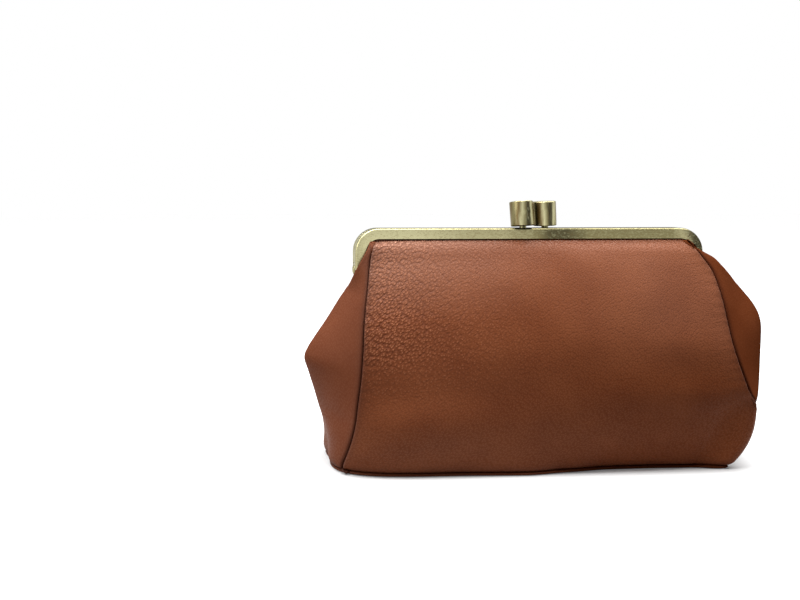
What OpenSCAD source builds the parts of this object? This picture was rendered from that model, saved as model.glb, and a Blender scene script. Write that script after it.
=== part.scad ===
// Framed leather clutch bag: a soft leather body that hangs from a two-part
// brass channel frame, hinged at both ends and held shut by two kiss-lock knobs.
// Millimetres. X runs along the bag, the front faces -Y, Z is up, and the
// underside of the base lies on Z = 0 in the middle of the bag.

/* [Frame] */
// Width across the outside of the closed frame
frame_w = 200; // [170:1:230]
// Height of the frame's top edge above the ground
frame_top = 131.5; // [120:0.5:150]
// Height of the frame's face
channel_h = 6; // [5:0.1:7.5]
// Depth of one frame half, front to back
channel_d = 6; // [5.4:0.1:7.5]
// Thickness of the frame's brass sheet
sheet_t = 0.9; // [0.7:0.05:1.1]
// Outer radius of the frame's corners, seen from the front
corner_r = 13.5; // [10:0.5:18]
// Radius of the channel's rolled edges
roll_r = 1.5; // [1.2:0.1:2]
// Height from the hinge up to the frame's top edge
leg_h = 23.5; // [20:0.5:30]
// Gap between the two halves when the bag is closed
half_gap = 0.4; // [0.3:0.05:0.8]

/* [Hinge] */
// Radius of the round ear at the end of each leg
ear_r = 3.8; // [3.4:0.1:4.2]
// Gap between the two ears, and between each ear and what passes it
ear_gap = 0.2; // [0.15:0.05:0.3]
// How far the face of each leg reaches below the hinge
leg_drop = 3.5; // [2:0.1:4]
// Radius of the rivet's shank
rivet_r = 1.25; // [1:0.05:1.5]
// Running clearance between the shank and the ears, on the radius
rivet_clear = 0.05; // [0.02:0.01:0.09]
// Radius of the rivet's heads
rivet_head_r = 2.5; // [2.1:0.1:2.9]
// Thickness of the rivet's heads
rivet_head_t = 0.9; // [0.6:0.1:1.2]

/* [Knobs] */
// Diameter of each knob
knob_d = 13.2; // [10:0.2:16]
// Height of each knob
knob_h = 14; // [10:0.2:18]
// Rounding of the knob's edges
knob_edge_r = 0.6; // [0.4:0.1:1]
// Radius of the stem under each knob
stem_r = 1.9; // [1.5:0.1:2.2]
// Height of the stem between the frame and the knob
stem_h = 1.1; // [1:0.1:2]
// Distance of each stem from the closing line
stem_inset = 2.4; // [2.2:0.1:3]
// Sideways gap between the two knobs
knob_gap = 1.1; // [0.4:0.1:1.6]
// Backward lean of the front knob, in degrees
front_lean = 6; // [0:0.5:6]
// Forward lean of the rear knob, in degrees
rear_lean = 1; // [0:0.5:6]
// Sideways lean of both knobs, in degrees
knob_sway = 2.5; // [0:0.5:3]
// Distance of the knob pair from the middle of the frame
knob_shift = 3.5; // [0:0.5:5]

/* [Body] */
// Depth of the body at its belly, front to back
body_d = 76; // [64:1:90]
// Height of the fullest part of the front above the ground
belly_z = 30; // [24:1:40]
// Length of the base
base_l = 226; // [200:1:250]
// How far the base's edge lies inside the belly, at the front and at the back
base_inset = 5; // [0:0.5:9]
// Rounding of the base's corners
base_r = 4; // [2:0.5:8]
// How far the side seams stay inside the frame's ends, at the hinge
seam_inset = 4.5; // [2:0.5:14]
// How far the front falls back from its crown to its side seams
panel_crown = 3; // [1:0.2:5]

/* [Gussets] */
// How far the left gusset's fold stands out past the frame
left_out = 26.5; // [18:0.5:45]
// Height of the left fold's widest point above the ground
left_out_z = 60; // [52:1:76]
// How far the left fold still stands out where it passes under the legs
left_brim = 2.8; // [2:0.2:10]
// How far the right gusset's fold, the fuller one, stands out past the frame
right_out = 38; // [20:0.5:45]
// Height of the right fold's widest point above the ground
right_out_z = 74; // [56:1:80]
// How far the right fold still stands out where it passes under the legs
right_brim = 22; // [12:0.5:24]
// How high the right fold rises beside the legs, outside them
right_rise = 9; // [4:0.5:10]

/* [Leather and lining] */
// Thickness of the leather
leather_t = 1.2; // [0.9:0.1:1.5]
// Thickness of the lining
lining_t = 0.6; // [0.4:0.1:0.8]
// Thickness of the stiff board in the base
board_t = 1.5; // [1:0.1:2.5]
// Gap between flat layers that lie on each other
layer_gap = 0.15; // [0.1:0.05:0.2]
// Gap between the curved leather and its lining
lining_gap = 0.3; // [0.25:0.05:0.4]
// Gap between soft pieces that move past each other
sweep_gap = 0.3; // [0.25:0.05:0.4]
// Width of the seam allowance at the side seams
seam_w = 2.8; // [2.6:0.1:3.5]

/* [Hidden] */
$fn = 64;

brass = [0.66, 0.62, 0.42];
tan_leather = [0.58, 0.33, 0.22];
dark_leather = [0.48, 0.26, 0.16];
lining_cloth = [0.36, 0.25, 0.19];
paper_cord = [0.80, 0.74, 0.62];
grey_board = [0.50, 0.48, 0.44];

// Frame
hinge_z = frame_top - leg_h;
frame_end = frame_w / 2;
mouth_z = frame_top - channel_h;
bend_r = corner_r - channel_h;
corner_x = frame_end - corner_r;
corner_z = frame_top - corner_r;
inner_w = channel_d - 2 * sheet_t;
roll_steps = 6;
overrun = channel_d / 8;

// Hinge: ears in two layers, the front half's outside the rear half's
ear_cut_r = ear_r + 2 * ear_gap;
outer_ear_x = frame_end - sheet_t;
inner_ear_x = outer_ear_x - ear_gap - sheet_t;
strap_w = inner_w - 2 * ear_gap;
strap_h = ear_cut_r + inner_w;
tail_x = inner_ear_x - rivet_clear;

// Leather where the channel holds it, from the front
leather_y = half_gap / 2 + channel_d - sheet_t - layer_gap / 2;
lining_back_y = leather_y - leather_t - lining_gap - lining_t;
cord_r = (lining_back_y - half_gap / 2 - sheet_t - layer_gap) / 2;
cord_y = half_gap / 2 + sheet_t + layer_gap / 2 + cord_r;
cord_n = (channel_h - sheet_t) / 2;
cord_foot_z = hinge_z + strap_h + ear_gap;

// Base: its depth follows the belly's
base_d = body_d - 2 * base_inset;

// Body: the top of the leather that stays still while the frame turns
seam_x = frame_end - seam_inset;
lining_off = leather_t + lining_gap;
lining_in = lining_off + lining_t;
panel_hold = lining_off + layer_gap;
board_back = lining_off + 2 * layer_gap;
leg_sweep = sqrt(pow(channel_d + half_gap / 2, 2) + pow(leg_drop, 2));
under_z = hinge_z - leg_sweep - 2 * sweep_gap;
still_z = hinge_z - leg_drop;
flap_foot_z = still_z + sweep_gap;
flap_inset = leather_t + sweep_gap;
still_lining_z = still_z - 2 * leather_t - sweep_gap;
tongue_x = frame_end - channel_h - sweep_gap;
flap_x = tongue_x - leather_t - sweep_gap;
rivet_side_x = frame_end + rivet_head_t + sweep_gap;
tongue_top_z = hinge_z + leg_drop;
hem_z = leather_t + layer_gap;
lining_hem_z = hem_z + board_t + lining_t + layer_gap + lining_gap;
leather_top_z = frame_top - roll_r - layer_gap;

// Each gusset's fold: how far out and how high its widest point is, how far out it is under the legs, its
// rise beside them, and the powers of its curves below and above the widest point
left_fold = [frame_end + left_out, left_out_z, frame_end + left_brim, 0, 0.7, 1];
right_fold = [frame_end + right_out, right_out_z, frame_end + right_brim, right_rise, 3.2, 1.4];

// Curves, as shares of the sizes that they follow
belly_power = 0.85;
seam_power = 0.75;
crease_power = 1.2;
foot_round_power = 1.9;
still_rows_share = [0, 0.04, 0.1, 0.18, 0.28, 0.38, 0.48, 0.58, 0.68, 0.78, 0.86, 0.93, 1];
flap_rows_share = [0, 0.05, 0.12, 0.22, 0.36, 0.55, 0.78, 1];
tongue_rows_share = [0, 0.5, 1];
fold_low_rows_share = [0, 0.06, 0.14, 0.25, 0.38, 0.52, 0.67, 0.83];
fold_high_rows_share = [0, 0.2, 0.4, 0.6, 0.8, 1];
panel_cols = 16;
gusset_cols = 16;
lining_cols = 10;

// Height of the channel's mouth above a place along the bag: it follows the frame's inner corner
function mouth_at(x) =
    let (d = min(max(abs(x) - corner_x, 0), bend_r))
    corner_z + sqrt(bend_r * bend_r - d * d);

// Distance of the front's outer surface from the middle of the bag, at a height z
function front_profile(z) =
    z >= mouth_z ? leather_y
    : z >= belly_z
        ? leather_y + (body_d / 2 - leather_y) * sin(90 * pow((mouth_z - z) / (mouth_z - belly_z), belly_power))
        : body_d / 2 - (body_d - base_d) / 2 * (1 - cos(90 * (belly_z - z) / belly_z));

// The same at a place along the bag: under the frame's round corners the surface starts lower
function front_y(x, z) =
    let (start = mouth_at(x), fade = min(max(1 - (start - z) / (2 * bend_r), 0), 1))
    front_profile(z + (mouth_z - start) * fade);

// Distance of the side seams from the middle of the bag, at a height z
function seam_at(z) =
    seam_x + (base_l / 2 - seam_x) * pow(min(max((hinge_z - z) / hinge_z, 0), 1), seam_power);

// Fall of the front surface towards the side seams
function crown_fall(x, z) =
    let (low = min(max((mouth_z - z) / (mouth_z - belly_z), 0), 1), side = min(abs(x) / seam_at(z), 1))
    panel_crown * low * min(z / belly_z, 1) * pow(side, 3);

function seam_y(z) = front_profile(z) - crown_fall(seam_at(z), z);

// Distance of a gusset's fold from the middle of the bag, at a height z
function fold_at(fold, z) =
    let (out = fold[0], out_z = fold[1], brim = fold[2])
    z >= out_z
        ? out - (out - brim) * pow(min((z - out_z) / (under_z - out_z), 1), fold[5])
        : out - (out - base_l / 2) * pow((out_z - z) / out_z, fold[4]);

// How sharply a gusset is creased at its fold: round at the base, nearly two flat faces above
function crease_at(fold, z) =
    crease_power + (foot_round_power - crease_power) * max(1 - z / fold[1], 0);

// A sheet between two offsets below a grid of surface points, rows upward and columns leftward seen from outside
function grid_normal(g, j, i) =
    let (
        rows = len(g) - 1,
        cols = len(g[0]) - 1,
        along = g[j][min(i + 1, cols)] - g[j][max(i - 1, 0)],
        up = g[min(j + 1, rows)][i] - g[max(j - 1, 0)][i],
        n = cross(along, up)
    )
    n / norm(n);

module sheet(g, outer, inner) {
    rows = len(g);
    cols = len(g[0]);
    face = rows * cols;
    points = [
        for (depth = [outer, inner]) for (j = [0:rows - 1]) for (i = [0:cols - 1])
            g[j][i] - depth * grid_normal(g, j, i)
    ];
    triangles = [
        for (j = [0:rows - 2]) for (i = [0:cols - 2])
            let (a = j * cols + i, b = a + 1, c = a + cols + 1, d = a + cols)
            each [
                [a, c, b], [a, d, c],
                [face + a, face + b, face + c], [face + a, face + c, face + d]
            ],
        for (i = [0:cols - 2])
            let (a = i, b = i + 1, c = (rows - 1) * cols + i, d = c + 1)
            each [
                [a, b, face + b], [a, face + b, face + a],
                [c, face + d, d], [c, face + c, face + d]
            ],
        for (j = [0:rows - 2])
            let (a = j * cols, b = a + cols, c = a + cols - 1, d = c + cols)
            each [
                [a, face + b, b], [a, face + a, face + b],
                [c, d, face + d], [c, face + d, face + c]
            ]
    ];
    polyhedron(points, triangles, convexity = 6);
}

// The front's outer surface, over a range of heights, held back from the side seams
function front_grid(low, high, hold, cols) = [
    for (share = still_rows_share)
        let (z = low + (high - low) * share, half = seam_at(z) - hold)
        [
            for (i = [0:cols])
                let (x = half * sin(90 * (2 * i / cols - 1)))
                [x, -(front_profile(z) - crown_fall(x, z)), z]
        ]
];

// The part of the front that swings with the frame, from its foot up into the channel
function flap_grid(top, foot, cols) = [
    for (share = flap_rows_share)
        [
            for (i = [0:cols])
                let (
                    x = flap_x * sin(90 * (2 * i / cols - 1)),
                    mouth = mouth_at(x),
                    z = foot + (mouth - foot) * (1 - pow(1 - share, 1.6)),
                    inset = flap_inset * (mouth - z) / (mouth - foot)
                )
                [x, -(front_y(x, z) - crown_fall(x, z) - inset), z]
        ],
    [
        for (i = [0:cols])
            let (
                x = flap_x * sin(90 * (2 * i / cols - 1)),
                d = max(abs(x) - corner_x, 0),
                reach = bend_r + (top - mouth_z)
            )
            [x, -leather_y, corner_z + sqrt(reach * reach - d * d)]
    ]
];

// One row of a gusset's outer surface, out to a distance and up by a rise at its fold, drawn on the right side
function gusset_row(fold, z, out, rise, hold, cols) =
    let (half = seam_y(z) - hold, seam = seam_at(z), power = crease_at(fold, z))
    [
        for (i = [0:cols])
            let (s = 2 * i / cols - 1)
            [seam + (out - seam) * (1 - pow(abs(s) * half / seam_y(z), power)), s * half, z + rise * (1 - s * s)]
    ];

// The surface from a low row to a high one, with a row at the fold's widest point
function gusset_grid(fold, low, high, hold, cols) = [
    for (share = fold_low_rows_share)
        let (z = low + (fold[1] - low) * share) gusset_row(fold, z, fold_at(fold, z), 0, hold, cols),
    for (share = fold_high_rows_share)
        let (z = fold[1] + (high - fold[1]) * share) gusset_row(fold, z, fold_at(fold, z), 0, hold, cols)
];

// The gusset's top: it rises beside the legs and comes down outside them, and its tongue tucks under the legs,
// clear of the front and back, and rises between them
function tongue_grid(fold, cols) = [
    gusset_row(fold, under_z, fold[2] - fold[3], fold[3], seam_w, cols),
    gusset_row(fold, under_z, rivet_side_x, 0, 2 * seam_w, cols),
    for (share = tongue_rows_share)
        let (z = under_z + (tongue_top_z - under_z) * share, half = (seam_y(under_z) - 2 * seam_w) * (1 - share / 2))
        [for (i = [0:cols]) [tongue_x, half * (2 * i / cols - 1), z]]
];

// Cross-section of the frame's channel: distance outward from its open edge, then depth from the closing line
function arc(cx, cy, r, from, to) = [
    for (k = [0:roll_steps])
        let (a = from + (to - from) * k / roll_steps)
        [cx + r * cos(a), cy + r * sin(a)]
];
channel_outline = concat(
    [[0, half_gap / 2]],
    arc(channel_h - roll_r, half_gap / 2 + roll_r, roll_r, -90, 0),
    arc(channel_h - roll_r, half_gap / 2 + channel_d - roll_r, roll_r, 0, 90),
    [[0, half_gap / 2 + channel_d], [0, half_gap / 2 + channel_d - sheet_t]],
    arc(channel_h - roll_r, half_gap / 2 + channel_d - roll_r, roll_r - sheet_t, 90, 0),
    arc(channel_h - roll_r, half_gap / 2 + roll_r, roll_r - sheet_t, 0, -90),
    [[0, half_gap / 2 + sheet_t]]
);

// Pieces drawn flat in the frame's plane, with the depth upward, are stood up towards the front
module stand_front() {
    rotate([90, 0, 0]) children();
}

module both_ends() {
    children();
    mirror([1, 0, 0]) children();
}

// The round space that the ears turn in, between two distances from the middle
module ear_space(from_x, to_x, r) {
    translate([from_x, hinge_z, 0]) rotate([0, 90, 0]) cylinder(h = to_x - from_x, r = r);
}

// One half of the frame without its ears, laid flat
module channel_run() {
    translate([-corner_x, mouth_z, 0]) rotate([90, 0, 90])
        linear_extrude(2 * corner_x) polygon(channel_outline);
    both_ends() {
        translate([corner_x, corner_z, 0]) rotate_extrude(angle = 90)
            translate([bend_r, 0]) polygon(channel_outline);
        translate([frame_end - channel_h, corner_z, 0]) rotate([90, 0, 0])
            linear_extrude(corner_z - hinge_z) polygon(channel_outline);
        translate([frame_end - channel_h, hinge_z - leg_drop, half_gap / 2 + channel_d - sheet_t])
            cube([channel_h - roll_r, leg_drop + overrun, sheet_t]);
    }
}

module outer_ear_half() {
    difference() {
        channel_run();
        both_ends() ear_space(frame_end - channel_h - overrun, outer_ear_x, ear_cut_r);
    }
    both_ends() ear_space(outer_ear_x, outer_ear_x + sheet_t, ear_r);
}

module inner_ear_half() {
    difference() {
        channel_run();
        both_ends() ear_space(frame_end - channel_h - overrun, frame_end + overrun, ear_cut_r);
    }
    both_ends() {
        ear_space(inner_ear_x, inner_ear_x + sheet_t, ear_r);
        translate([inner_ear_x, hinge_z, half_gap / 2 + sheet_t + ear_gap])
            cube([sheet_t, strap_h, strap_w]);
        translate([inner_ear_x, hinge_z + ear_cut_r + ear_gap, half_gap / 2 + sheet_t + ear_gap])
            cube([2 * sheet_t + ear_gap - sheet_t / 2, strap_h - ear_cut_r - ear_gap, strap_w]);
    }
}

module rivet_bores() {
    both_ends() ear_space(inner_ear_x - overrun, frame_end + overrun, rivet_r + rivet_clear);
}

module front_frame() {
    color(brass) stand_front() difference() {
        outer_ear_half();
        rivet_bores();
    }
}

module rear_frame() {
    color(brass) mirror([0, 1, 0]) stand_front() difference() {
        inner_ear_half();
        rivet_bores();
    }
}

// A knob on its stem, standing at the frame's top edge and turned on its side axis by lean
module knob(x, y, lean) {
    r = knob_d / 2;
    edge = knob_edge_r;
    steps = roll_steps;
    profile = concat(
        [[0, -stem_r], [stem_r, -stem_r], [stem_r, stem_h], [r - edge, stem_h]],
        [for (k = [1:steps]) let (a = -90 + 90 * k / steps) [r - edge + edge * cos(a), stem_h + edge + edge * sin(a)]],
        [for (k = [0:steps]) let (a = 90 * k / steps) [r - edge + edge * cos(a), stem_h + knob_h - edge + edge * sin(a)]],
        [[0, stem_h + knob_h]]
    );
    difference() {
        translate([x, y, frame_top]) rotate([lean, -knob_sway, 0]) rotate_extrude() polygon(profile);
        translate([x - r, y - r, frame_top - 2 * r]) cube([2 * r, 2 * r, 2 * r]);
    }
}

module front_knob() {
    color(brass) knob(knob_shift - (knob_d + knob_gap) / 2, -stem_inset, -front_lean);
}

module rear_knob() {
    color(brass) knob(knob_shift + (knob_d + knob_gap) / 2, stem_inset, rear_lean);
}

// A rivet through both ears, its domed head outside and its tail inside
module hinge_rivet() {
    head_x = frame_end + rivet_clear;
    profile = concat(
        [[0, tail_x - rivet_head_t], [rivet_head_r, tail_x - rivet_head_t], [rivet_head_r, tail_x]],
        [[rivet_r, tail_x], [rivet_r, head_x], [rivet_head_r, head_x]],
        [for (k = [1:roll_steps]) let (a = 90 * k / roll_steps) [rivet_head_r * cos(a), head_x + rivet_head_t * sin(a)]]
    );
    color(brass) translate([0, 0, hinge_z]) rotate([0, 90, 0]) rotate_extrude() polygon(profile);
}

module right_hinge_rivet() {
    hinge_rivet();
}

module left_hinge_rivet() {
    mirror([1, 0, 0]) hinge_rivet();
}

// The paper cord that wedges the leather in the channel
module front_channel_cord() {
    cord_bend = bend_r + cord_n;
    color(paper_cord) stand_front() {
        translate([-corner_x, mouth_z + cord_n, cord_y]) rotate([0, 90, 0])
            cylinder(h = 2 * corner_x, r = cord_r);
        both_ends() {
            translate([corner_x, corner_z, cord_y]) rotate_extrude(angle = 90)
                translate([cord_bend, 0]) circle(r = cord_r);
            translate([corner_x + cord_bend, cord_foot_z, cord_y]) rotate([-90, 0, 0])
                cylinder(h = corner_z - cord_foot_z, r = cord_r);
        }
    }
}

module rear_channel_cord() {
    mirror([0, 1, 0]) front_channel_cord();
}

module front_top_panel() {
    color(tan_leather)
        sheet(flap_grid(leather_top_z, flap_foot_z, panel_cols), 0, leather_t);
}

module rear_top_panel() {
    mirror([0, 1, 0]) front_top_panel();
}

module front_top_lining() {
    color(lining_cloth)
        sheet(flap_grid(leather_top_z, flap_foot_z, lining_cols), lining_off, lining_in);
}

module rear_top_lining() {
    mirror([0, 1, 0]) front_top_lining();
}

module front_panel() {
    color(tan_leather) sheet(front_grid(hem_z, still_z, panel_hold, panel_cols), 0, leather_t);
}

module rear_panel() {
    mirror([0, 1, 0]) front_panel();
}

module front_lining() {
    color(lining_cloth)
        sheet(front_grid(lining_hem_z, still_lining_z, seam_w, lining_cols), lining_off, lining_in);
}

module rear_lining() {
    mirror([0, 1, 0]) front_lining();
}

// A gusset and its lining, drawn on the right side
module gusset(fold) {
    body = gusset_grid(fold, hem_z, under_z - leather_t, 0, gusset_cols);
    color(dark_leather) sheet(concat(body, tongue_grid(fold, gusset_cols)), 0, leather_t);
}

module gusset_lining(fold) {
    body = gusset_grid(fold, lining_hem_z, under_z - lining_in, seam_w, lining_cols);
    color(lining_cloth) sheet(body, lining_off, lining_in);
}

module right_gusset() {
    gusset(right_fold);
}

module left_gusset() {
    mirror([1, 0, 0]) gusset(left_fold);
}

module right_gusset_lining() {
    gusset_lining(right_fold);
}

module left_gusset_lining() {
    mirror([1, 0, 0]) gusset_lining(left_fold);
}

// A flat plate with round corners, held back from the base's edge
module base_layer(back, z, t) {
    l = base_l - 2 * back;
    d = base_d - 2 * back;
    r = base_r - min(back, base_r / 2);
    corner = [for (k = [0:roll_steps]) let (a = 90 * k / roll_steps) [l / 2 - r + r * cos(a), d / 2 - r + r * sin(a)]];
    turned = [for (k = [0:roll_steps]) corner[roll_steps - k]];
    outline = concat(
        corner,
        [for (p = turned) [-p[0], p[1]]],
        [for (p = corner) [-p[0], -p[1]]],
        [for (p = turned) [p[0], -p[1]]]
    );
    translate([0, 0, z]) linear_extrude(t) polygon(outline);
}

module base_panel() {
    color(tan_leather) base_layer(0, 0, leather_t);
}

module base_board() {
    color(grey_board) base_layer(board_back, hem_z, board_t);
}

module base_lining() {
    color(lining_cloth) base_layer(board_back, hem_z + board_t + layer_gap, lining_t);
}

front_frame();
rear_frame();
front_knob();
rear_knob();
left_hinge_rivet();
right_hinge_rivet();
front_channel_cord();
rear_channel_cord();
front_top_panel();
rear_top_panel();
front_top_lining();
rear_top_lining();
front_panel();
rear_panel();
left_gusset();
right_gusset();
base_panel();
base_board();
front_lining();
rear_lining();
left_gusset_lining();
right_gusset_lining();
base_lining();
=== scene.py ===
import math

import bmesh
import bpy
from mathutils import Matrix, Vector, noise


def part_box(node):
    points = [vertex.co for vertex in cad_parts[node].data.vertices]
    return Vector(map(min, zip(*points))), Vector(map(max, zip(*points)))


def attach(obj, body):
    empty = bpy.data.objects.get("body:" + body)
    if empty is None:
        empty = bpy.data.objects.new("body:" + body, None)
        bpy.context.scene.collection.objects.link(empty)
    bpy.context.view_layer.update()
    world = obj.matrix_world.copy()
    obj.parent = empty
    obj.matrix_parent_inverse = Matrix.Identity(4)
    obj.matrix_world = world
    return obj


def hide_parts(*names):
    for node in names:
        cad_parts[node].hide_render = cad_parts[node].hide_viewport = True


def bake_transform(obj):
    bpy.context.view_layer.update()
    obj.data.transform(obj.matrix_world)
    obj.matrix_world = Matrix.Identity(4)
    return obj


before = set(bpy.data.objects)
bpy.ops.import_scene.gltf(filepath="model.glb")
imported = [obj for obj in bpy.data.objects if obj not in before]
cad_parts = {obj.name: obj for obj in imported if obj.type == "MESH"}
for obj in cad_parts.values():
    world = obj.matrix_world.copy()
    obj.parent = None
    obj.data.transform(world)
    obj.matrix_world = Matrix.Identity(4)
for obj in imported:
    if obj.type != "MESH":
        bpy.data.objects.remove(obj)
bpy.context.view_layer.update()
scene = bpy.context.scene
mm = 0.001
print("frame loaded:", len(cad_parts), "nodes")

# Sizes that every piece shares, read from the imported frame
frameLow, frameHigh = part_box("front_frame")
frameSide = frameHigh.x
frameTop = frameHigh.z
frameFace = -frameLow.y
channel = {"height": 6 * mm, "sheet": 0.9 * mm, "corner": 13.5 * mm, "roll": 1.5 * mm,
           "slack": 0.1 * mm, "headroom": 0.3 * mm}
mouthZ = frameTop - channel["height"]
bendRadius = channel["corner"] - channel["height"]
cornerX = frameSide - channel["corner"]
cornerZ = frameTop - channel["corner"]

leather = {
    "thickness": 1.2 * mm,
    "rollRadius": 1.9 * mm,  # how round the leather turns into a seam
    "allowance": 3.2 * mm,  # what is left of the seam inside
    "footAllowance": 0.25,  # the share of it that is left at the base
    "allowanceGrows": 0.06,  # the share of a seam over which it grows from there
    "lapRadius": 0.7 * mm,  # the fold where the gusset laps the frame's leg
    "flangeRadius": 0.05 * mm,  # the fold of the gusset's narrow flange
    "flange": 1.5 * mm,  # one of the two steps behind either fold
    "channelDepth": frameFace - channel["sheet"] - channel["slack"],
    "channelRise": channel["height"] - channel["roll"] - channel["headroom"],
    "channelRows": 3,
    "rows": 90,
    "hemRows": 7,  # rows in the roll at the base
    "hemSpan": 3,  # columns either side that give its direction
    "hemMargin": 4,  # columns at a seam that follow the next one
    "seamLength": 138 * mm,  # length of a side seam
}
hemZ = 2 * mm  # height of the seam at the base
seamShade = 1.6 * mm  # how far the painted shade of a seam reaches
crowding = 1.5  # how much closer the rows and columns get towards a seam
clothMerge = 0.01 * mm


def points(rows):
    return [Vector(row) * mm for row in rows]


def smoothStep(t):
    t = min(max(t, 0.0), 1.0)
    return t * t * (3 - 2 * t)


def eased(value, start, end):
    # 0 at start and 1 at end, with a smooth passage between them
    return smoothStep((value - start) / (end - start))


def mix(a, b, t):
    return a + (b - a) * t


def lineLengths(line):
    # The length run at each point of a line
    lengths = [0.0]
    for p, q in zip(line, line[1:]):
        lengths.append(lengths[-1] + (q - p).length)
    return lengths


def curveThrough(knots, shares, steps=24):
    # Points at shares of the length of a smooth curve through the knots
    ends = [knots[0] * 2 - knots[1]] + knots + [knots[-1] * 2 - knots[-2]]
    fine = []
    for k in range(len(knots) - 1):
        a, b, c, d = ends[k:k + 4]
        for n in range(steps):
            t = n / steps
            fine.append(0.5 * (2 * b + (c - a) * t + (2 * a - 5 * b + 4 * c - d) * t * t
                               + (3 * b - a - 3 * c + d) * t ** 3))
    fine.append(knots[-1])
    lengths = lineLengths(fine)
    placed = []
    k = 0
    for share in shares:
        target = lengths[-1] * share
        while k < len(fine) - 2 and lengths[k + 1] < target:
            k += 1
        span = lengths[k + 1] - lengths[k]
        placed.append(fine[k].lerp(fine[k + 1], (target - lengths[k]) / span if span else 0))
    return placed


# The seams and folds of the front half, from the base up to the frame, in millimetres
bodyShape = {
    "leftSeam": [
        (-110.5, -26.5, 2), (-110, -28, 6), (-108.5, -30.5, 11), (-106.5, -32.5, 18), (-104.5, -34, 27),
        (-103, -34, 38), (-101, -33, 52), (-99.5, -30, 67), (-98.5, -26, 80), (-96, -19.5, 96.5),
        (-93.5, -13, 111), (-91, -9.5, 120.5), (-90.5, -6.2, 123.5)],
    "rightSeam": [
        (101.5, -19.5, 2), (107.5, -20.5, 10), (111.5, -22, 18), (115, -25.5, 28), (117.5, -30, 36),
        (113, -32.5, 44), (106.5, -31, 63.5), (104.5, -26.5, 79), (103.5, -21.5, 93.5),
        (101.5, -16, 106.5), (97.5, -12.5, 114.5), (94, -9.5, 120), (90.5, -6.4, 124)],
    "leftRidge": [
        (-113.2, 0, 2), (-114.4, 0, 6), (-115, 0, 13), (-116.7, 0, 22), (-120, 0, 31.5), (-122.8, 0, 41),
        (-126, 0, 51), (-128.2, 0, 58.5), (-126, 0, 64.5), (-121.5, 0, 71.5), (-117, 0, 78),
        (-112.5, 0, 85), (-108.5, 0, 91.5), (-104.8, -0.4, 96.8), (-102.5, -3.4, 101.2),
        (-100.9, -6.4, 105.3), (-99.4, -8.1, 108.6), (-97.9, -8.9, 111.4), (-96.4, -9.2, 114),
        (-94.6, -9.2, 117), (-92.8, -8.2, 120.4), (-91.2, -6.4, 124)],
    "rightRidge": [
        (114.5, 0, 2), (118, 0, 6), (122.5, 0, 12.5), (128.5, 0, 20.5), (133, 0, 29.5), (136.2, 0, 43.5),
        (137, 0, 56.5), (137.4, 0, 66.5), (137.4, 0, 74.5), (136.2, 0, 80.5), (133.2, 0, 86.5),
        (128, -0.6, 93), (121.5, -3, 99), (115, -6.5, 105), (110, -8.5, 109.5), (104.6, -9.2, 114.4),
        (99.4, -9.2, 117.3), (92.5, -8.6, 121.3), (90, -6.4, 124)],
    "bellyDepth": 38 * mm, "bellyZ": 30 * mm, "bellyPower": 0.85,
    "baseDepth": 33.5 * mm,
    "middleSteps": 24,
}
hemShare = leather["rollRadius"] / leather["seamLength"]
rowShares = ([hemShare * (n / leather["hemRows"]) ** crowding for n in range(leather["hemRows"])]
             + [mix(hemShare, 1, n / leather["rows"]) for n in range(leather["rows"] + 1)])
rowCount = len(rowShares)


def frontProfile(z):
    # Depth of the front's middle line at a height
    deep, low = bodyShape["bellyDepth"], bodyShape["bellyZ"]
    held = leather["channelDepth"]
    if z >= mouthZ:
        return held
    if z >= low:
        share = (mouthZ - z) / (mouthZ - low)
        return held + (deep - held) * math.sin(math.pi / 2 * share ** bodyShape["bellyPower"])
    return deep - (deep - bodyShape["baseDepth"]) * (1 - math.cos(math.pi / 2 * (low - z) / low))


def mouthAt(x):
    # Height of the channel's mouth, which follows the frame's inner corner
    across = min(max(abs(x) - cornerX, 0), bendRadius)
    return cornerZ + math.sqrt(bendRadius ** 2 - across ** 2)


middleSteps = bodyShape["middleSteps"]
heights = [mix(hemZ, mouthZ, n / middleSteps) for n in range(middleSteps + 1)]
middle = curveThrough([Vector((0, -frontProfile(z), z)) for z in heights], rowShares)
seamLeft, seamRight, ridgeLeft, ridgeRight = (
    curveThrough(points(bodyShape[key]), rowShares)
    for key in ("leftSeam", "rightSeam", "leftRidge", "rightRidge"))
sides = (("left", seamLeft, ridgeLeft), ("right", seamRight, ridgeRight))

panel = {
    "columns": 96, "seamColumns": 12,
    "crown": (8.0, 2.6, 12.0),  # how square the front is across: at the base, above it, in the frame
    "crownEases": 2.2,
    "crownTop": (0.9, 1.0),
    "ripple": 0.35 * mm, "rippleSize": 26 * mm,
    "pucker": 0.16 * mm,  # small folds along the side seams
    "puckerSize": 5 * mm, "puckerReach": 5 * mm, "puckerSway": 4,
    "calm": (0.05, 0.88),  # the leather lies smooth below and above these shares of its height
    # how far the hem stands out or back along the bag: x and distance, in millimetres
    "hemWave": [(-115, 0), (-52, 0.6), (-9, 2.6), (12, -0.8), (36, -4), (60, -4), (92, -1), (115, 0)],
    "waveReach": 26 * mm,
    # the lower right corner swells past its seam: its x at the foot, growth, height and roundness
    "cornerLine": (101 * mm, 16.2 * mm, 37 * mm, 3.1),
    "cornerY": -30 * mm,
    "cornerReach": 16 * mm,
    "cornerTop": (44 * mm, 31 * mm),
}


def hemWaveAt(x):
    # How far the hem stands out at a place along the bag
    knots = panel["hemWave"]
    for (a, low), (b, high) in zip(knots, knots[1:]):
        if x <= b * mm:
            return mix(low, high, eased(x, a * mm, b * mm)) * mm
    return knots[-1][1] * mm


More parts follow.
